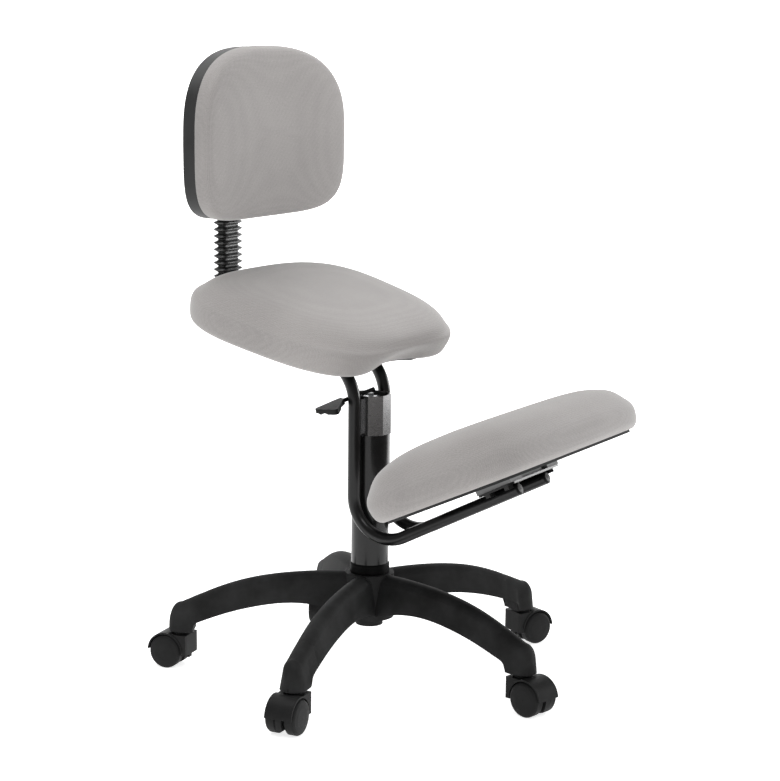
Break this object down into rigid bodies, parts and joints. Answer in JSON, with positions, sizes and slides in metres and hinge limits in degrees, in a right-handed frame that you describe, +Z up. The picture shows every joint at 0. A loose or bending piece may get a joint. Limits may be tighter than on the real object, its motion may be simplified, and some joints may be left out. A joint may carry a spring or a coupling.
{
  "type": "kneeling chair",
  "caption": "Height-adjustable kneeling chair with padded seat, knee pad and backrest on a tubular steel frame, gas column and five-arm castor base.",
  "frame": {"origin": "on the floor, on the axis of the column", "axes": "+Z up along the column, the sitter faces -Y, +X to the sitter's left"},
  "size_m": [0.6266, 0.6477, 0.9141],
  "materials": {
    "base_plastic": "moulded, fine texture",
    "bearing_plastic": "natural acetal",
    "black_rubber": "matt",
    "black_steel": "gloss black powder coat",
    "castor_plastic": "moulded, smooth",
    "gloss_black": "smooth",
    "grey_fabric": "fine plain weave",
    "grey_plastic": "moulded",
    "grey_steel": "satin dark grey",
    "hard_chrome": "polished",
    "plywood": "birch ply under black felt",
    "shell_plastic": "grained",
    "zinc_steel": "zinc plated"
  },
  "bodies": {
    "base": {"star_base": "base_plastic", "column_tube": "black_steel", "hub_collar": "gloss_black", "guide_bush": "bearing_plastic", "thrust_bearing": "zinc_steel"},
    "castor_1": {"castor_1_hood": "castor_plastic", "castor_1_stem": "zinc_steel", "castor_1_axle": "zinc_steel"},
    "castor_1_left": {"castor_1_wheel_left": "castor_plastic"},
    "castor_1_right": {"castor_1_wheel_right": "castor_plastic"},
    "castor_2": {"castor_2_hood": "castor_plastic", "castor_2_stem": "zinc_steel", "castor_2_axle": "zinc_steel"},
    "castor_2_left": {"castor_2_wheel_left": "castor_plastic"},
    "castor_2_right": {"castor_2_wheel_right": "castor_plastic"},
    "castor_3": {"castor_3_hood": "castor_plastic", "castor_3_stem": "zinc_steel", "castor_3_axle": "zinc_steel"},
    "castor_3_left": {"castor_3_wheel_left": "castor_plastic"},
    "castor_3_right": {"castor_3_wheel_right": "castor_plastic"},
    "castor_4": {"castor_4_hood": "castor_plastic", "castor_4_stem": "zinc_steel", "castor_4_axle": "zinc_steel"},
    "castor_4_left": {"castor_4_wheel_left": "castor_plastic"},
    "castor_4_right": {"castor_4_wheel_right": "castor_plastic"},
    "castor_5": {"castor_5_hood": "castor_plastic", "castor_5_stem": "zinc_steel", "castor_5_axle": "zinc_steel"},
    "castor_5_left": {"castor_5_wheel_left": "castor_plastic"},
    "castor_5_right": {"castor_5_wheel_right": "castor_plastic"},
    "spindle": {"piston_rod": "hard_chrome", "rod_clip": "zinc_steel"},
    "frame": {"gas_cylinder": "hard_chrome", "cone_socket": "black_steel", "octagon_sleeve": "grey_steel", "lever_pin": "zinc_steel", "frame_tube_left": "black_steel", "frame_tube_right": "black_steel", "tube_caps": "gloss_black", "seat_plate": "black_steel", "seat_board": "plywood", "seat_cushion": "grey_fabric", "seat_bolts": "black_steel", "knee_plate": "black_steel", "knee_centre_block": "grey_plastic", "knee_side_blocks": "grey_plastic", "knee_bolts": "black_steel", "knee_board": "plywood", "knee_cushion": "grey_fabric"},
    "lever": {"lever_rod": "black_steel", "lever_paddle": "gloss_black"},
    "valve": {"valve_pin": "zinc_steel"},
    "back_bar": {"back_bar": "black_steel", "bellows": "black_rubber"},
    "depth_clamp": {"depth_knob": "gloss_black"},
    "backrest": {"back_carrier": "black_steel", "back_shell": "shell_plastic", "back_cushion": "grey_fabric", "back_screws": "zinc_steel"},
    "height_clamp": {"height_knob": "gloss_black"}
  },
  "joints": [
    {"name": "castor_1_swivel", "type": "hinge", "parent": "base", "child": "castor_1", "pos_m": [-0.13012, 0.2468, 0.055], "axis": [0, 0, 1], "continuous": true},
    {"name": "castor_1_left_roll", "type": "hinge", "parent": "castor_1", "child": "castor_1_left", "pos_m": [-0.13309, 0.26556, 0.025], "axis": [-0.9877, -0.1564, 0], "continuous": true},
    {"name": "castor_1_right_roll", "type": "hinge", "parent": "castor_1", "child": "castor_1_right", "pos_m": [-0.13309, 0.26556, 0.025], "axis": [-0.9877, -0.1564, 0], "continuous": true},
    {"name": "castor_2_swivel", "type": "hinge", "parent": "base", "child": "castor_2", "pos_m": [-0.27493, -0.04749, 0.055], "axis": [0, 0, 1], "continuous": true},
    {"name": "castor_2_left_roll", "type": "hinge", "parent": "castor_2", "child": "castor_2_left", "pos_m": [-0.29383, -0.04947, 0.025], "axis": [0.1045, -0.9945, 0], "continuous": true},
    {"name": "castor_2_right_roll", "type": "hinge", "parent": "castor_2", "child": "castor_2_right", "pos_m": [-0.29383, -0.04947, 0.025], "axis": [0.1045, -0.9945, 0], "continuous": true},
    {"name": "castor_3_swivel", "type": "hinge", "parent": "base", "child": "castor_3", "pos_m": [-0.03979, -0.27615, 0.055], "axis": [0, 0, 1], "continuous": true},
    {"name": "castor_3_left_roll", "type": "hinge", "parent": "castor_3", "child": "castor_3_left", "pos_m": [-0.04407, -0.29466, 0.025], "axis": [0.9744, -0.225, 0], "continuous": true},
    {"name": "castor_3_right_roll", "type": "hinge", "parent": "castor_3", "child": "castor_3_right", "pos_m": [-0.04407, -0.29466, 0.025], "axis": [0.9744, -0.225, 0], "continuous": true},
    {"name": "castor_4_swivel", "type": "hinge", "parent": "base", "child": "castor_4", "pos_m": [0.25033, -0.12318, 0.055], "axis": [0, 0, 1], "continuous": true},
    {"name": "castor_4_left_roll", "type": "hinge", "parent": "castor_4", "child": "castor_4_left", "pos_m": [0.26755, -0.13121, 0.025], "axis": [0.4226, 0.9063, 0], "continuous": true},
    {"name": "castor_4_right_roll", "type": "hinge", "parent": "castor_4", "child": "castor_4_right", "pos_m": [0.26755, -0.13121, 0.025], "axis": [0.4226, 0.9063, 0], "continuous": true},
    {"name": "castor_5_swivel", "type": "hinge", "parent": "base", "child": "castor_5", "pos_m": [0.19451, 0.20002, 0.055], "axis": [0, 0, 1], "continuous": true},
    {"name": "castor_5_left_roll", "type": "hinge", "parent": "castor_5", "child": "castor_5_left", "pos_m": [0.17729, 0.19199, 0.025], "axis": [0.4226, -0.9063, 0], "continuous": true},
    {"name": "castor_5_right_roll", "type": "hinge", "parent": "castor_5", "child": "castor_5_right", "pos_m": [0.17729, 0.19199, 0.025], "axis": [0.4226, -0.9063, 0], "continuous": true},
    {"name": "column_swivel", "type": "hinge", "parent": "base", "child": "spindle", "pos_m": [0, 0, 0.092], "axis": [0, 0, 1], "continuous": true},
    {"name": "seat_lift", "type": "slide", "parent": "spindle", "child": "frame", "axis": [0, 0, 1], "range_m": [0, 0.12]},
    {"name": "lever_press", "type": "hinge", "parent": "frame", "child": "lever", "pos_m": [-0.02022, 0.00867, 0.41912], "axis": [0.3939, 0.9191, 0], "range_deg": [0, 8], "stiffness_Nm_per_rad": 0.6},
    {"name": "valve_press", "type": "slide", "parent": "frame", "child": "valve", "axis": [0, 0, -1], "range_m": [0, 0.0032]},
    {"name": "back_depth", "type": "slide", "parent": "frame", "child": "back_bar", "axis": [0, 0.9659, 0.2588], "range_m": [0, 0.04]},
    {"name": "depth_knob_turn", "type": "hinge", "parent": "frame", "child": "depth_clamp", "pos_m": [0, 0.11149, 0.49021], "axis": [0, -0.2588, 0.9659], "range_deg": [0, 270]},
    {"name": "back_height", "type": "slide", "parent": "back_bar", "child": "backrest", "axis": [0, 0, 1], "range_m": [0, 0.06], "deforming": ["bellows"]},
    {"name": "height_knob_turn", "type": "hinge", "parent": "backrest", "child": "height_clamp", "pos_m": [0, 0.27, 0.724], "axis": [0, 1, 0], "range_deg": [0, 270]}
  ],
  "couplings": [
    {"joint": "valve_press", "follows": "lever_press", "m_per_rad": 0.022}
  ]
}
